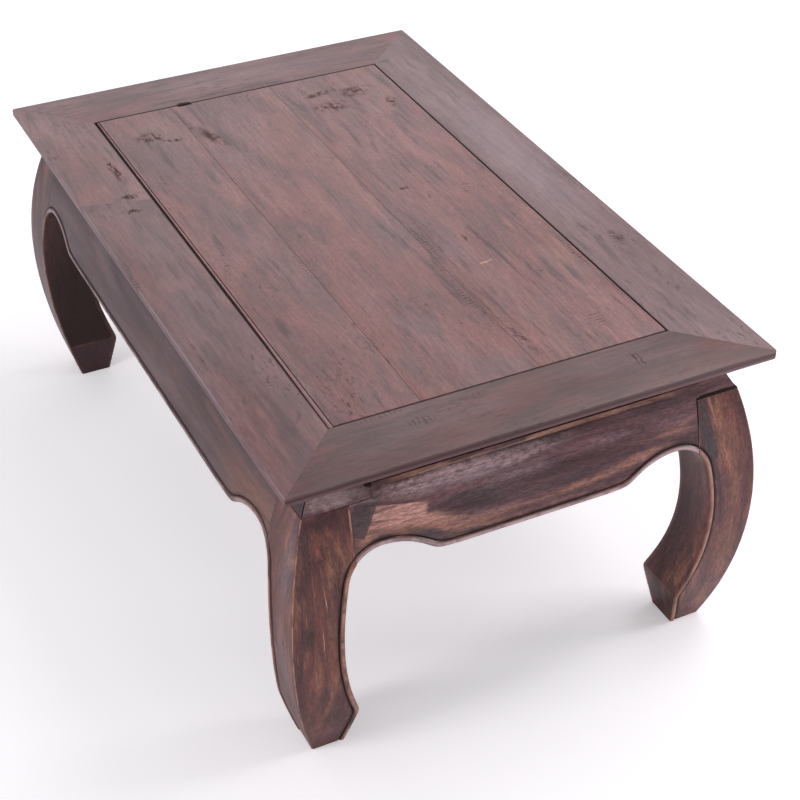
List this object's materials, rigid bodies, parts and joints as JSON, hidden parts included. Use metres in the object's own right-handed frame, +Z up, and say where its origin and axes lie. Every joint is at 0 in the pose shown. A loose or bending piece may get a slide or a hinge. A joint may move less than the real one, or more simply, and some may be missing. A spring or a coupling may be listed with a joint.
{
  "type": "opium table",
  "caption": "Low rectangular wooden table with a mitred framed plank top, hollow waist, shaped aprons and bulging legs that curve in to turned toes.",
  "frame": {"origin": "on the floor, under the middle of the table top", "axes": "+Z up, +Y along the table's length, +X across its width"},
  "size_m": [0.635, 1, 0.433],
  "materials": {
    "top_wood": "satin lacquer over dark stain",
    "panel_wood": "satin lacquer over dark stain",
    "carcass_wood": "satin lacquer over dark stain",
    "inner_wood": "bare planed",
    "steel": "zinc plated"
  },
  "bodies": {
    "root": {"apron_far": "carcass_wood", "apron_left": "carcass_wood", "apron_near": "carcass_wood", "apron_right": "carcass_wood", "apron_screws": "steel", "batten_screws": "steel", "cleat_far": "inner_wood", "cleat_left": "inner_wood", "cleat_near": "inner_wood", "cleat_right": "inner_wood", "corner_block_far_left": "inner_wood", "corner_block_far_right": "inner_wood", "corner_block_near_left": "inner_wood", "corner_block_near_right": "inner_wood", "corner_dowels": "inner_wood", "leg_far_left": "carcass_wood", "leg_far_right": "carcass_wood", "leg_near_left": "carcass_wood", "leg_near_right": "carcass_wood", "mitre_biscuits": "inner_wood", "panel_batten_far": "inner_wood", "panel_batten_middle": "inner_wood", "panel_batten_near": "inner_wood", "panel_plank_1": "panel_wood", "panel_plank_2": "panel_wood", "panel_plank_3": "panel_wood", "panel_plank_4": "panel_wood", "panel_slip": "panel_wood", "splice_biscuit": "inner_wood", "top_rail_far": "top_wood", "top_rail_left_far": "top_wood", "top_rail_left_near": "top_wood", "top_rail_near": "top_wood", "top_rail_right": "top_wood", "top_screws": "steel", "waist_far": "carcass_wood", "waist_left": "carcass_wood", "waist_near": "carcass_wood", "waist_right": "carcass_wood"}
  },
  "joints": []
}
